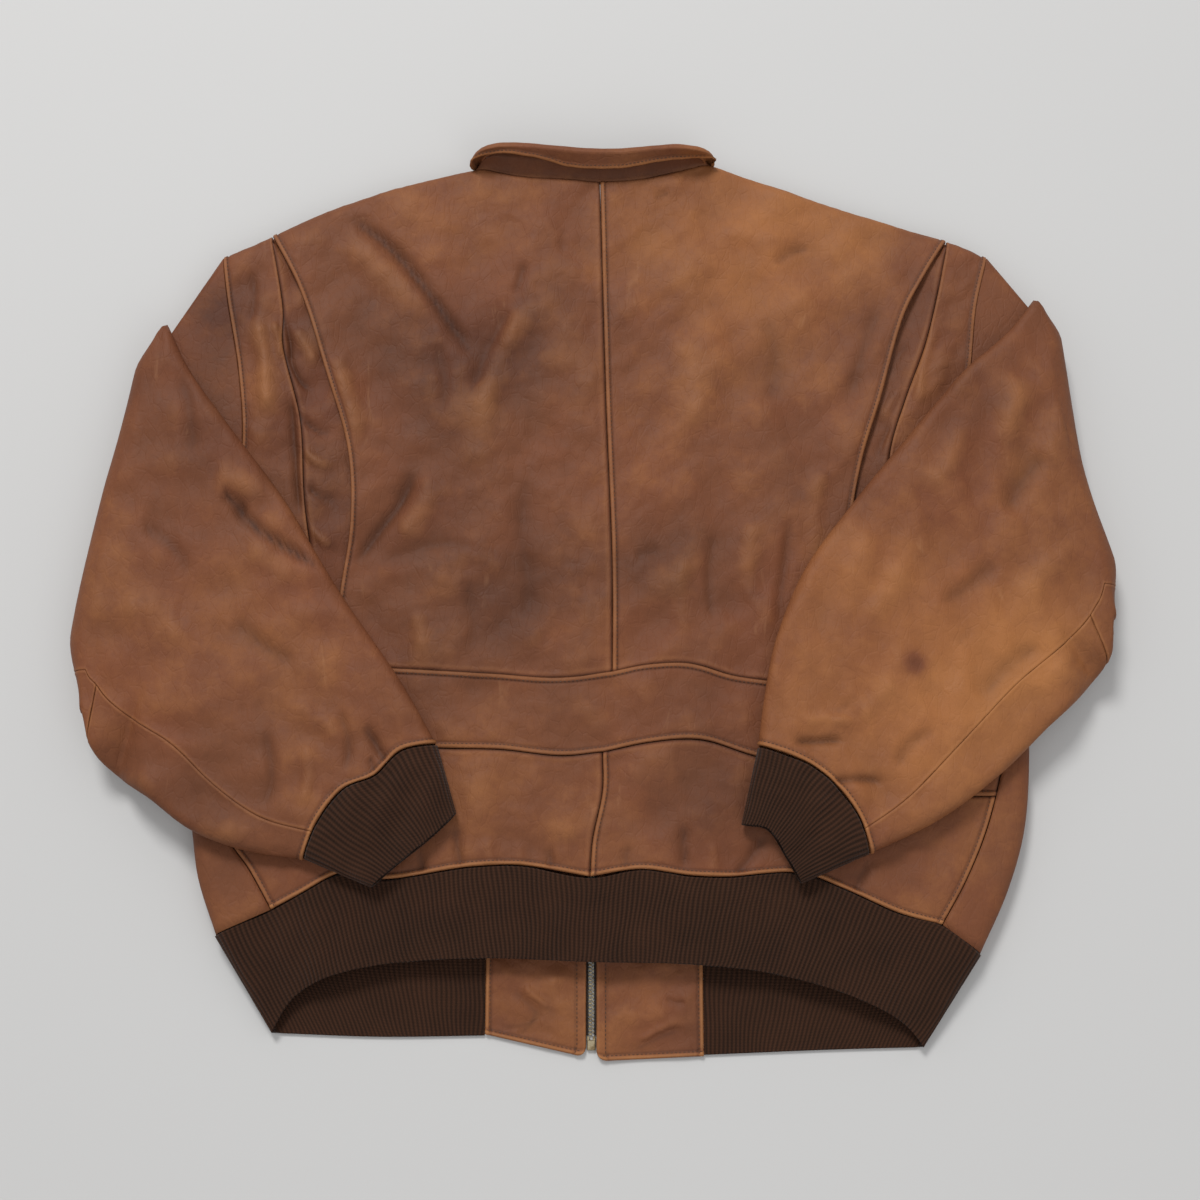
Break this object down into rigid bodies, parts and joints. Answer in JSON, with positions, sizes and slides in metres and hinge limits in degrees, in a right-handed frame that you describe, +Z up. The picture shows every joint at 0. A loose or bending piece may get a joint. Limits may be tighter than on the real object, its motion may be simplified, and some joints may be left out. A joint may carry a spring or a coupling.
{
  "type": "worn leather jacket",
  "caption": "Worn brown leather flying jacket laid face down, sleeves folded over its pleated back, with knitted cuffs and waistband.",
  "frame": {"origin": "on the surface the jacket lies on, under the middle of its outline", "axes": "+X across the back to the right sleeve as seen with the collar away, +Y from the hem to the collar, +Z up from the surface"},
  "size_m": [0.8609, 0.7676, 0.048],
  "materials": {
    "leather_brown": "worn, waxy, mottled mid brown",
    "leather_tan": "worn, rubbed golden tan",
    "leather_dark": "less worn, greyed dark brown",
    "leather_panel": "creased leather facing",
    "knit": "dark brown rib knit",
    "zip_tape": "woven dark tape",
    "zip_metal": "aged, dulled"
  },
  "bodies": {
    "root": {"back_left": "leather_brown", "back_right": "leather_brown", "belt": "leather_brown", "collar_fall": "leather_tan", "collar_stand": "leather_brown", "cuff_left": "knit", "cuff_right": "knit", "front_left": "leather_brown", "front_right": "leather_brown", "gusset_left": "leather_dark", "gusset_right": "leather_dark", "lower_back_left": "leather_brown", "lower_back_right": "leather_brown", "side_panel_left": "leather_tan", "side_panel_right": "leather_tan", "sleeve_left": "leather_tan", "sleeve_right": "leather_tan", "under_sleeve_lower_left": "leather_brown", "under_sleeve_lower_right": "leather_brown", "under_sleeve_upper_left": "leather_brown", "under_sleeve_upper_right": "leather_brown", "waistband": "knit", "zip_box": "zip_metal", "zip_chain": "zip_metal", "zip_panel_left": "leather_panel", "zip_panel_right": "leather_panel", "zip_slider": "zip_metal", "zip_tape_left": "zip_tape", "zip_tape_right": "zip_tape"},
    "pull_tab": {"zip_pull_tab": "zip_metal"}
  },
  "joints": [
    {"name": "pull_tab_hinge", "type": "hinge", "parent": "root", "child": "pull_tab", "pos_m": [-0.007, 0.3142, 0.0017], "axis": [-1, 0, 0], "range_deg": [0, 150]}
  ]
}
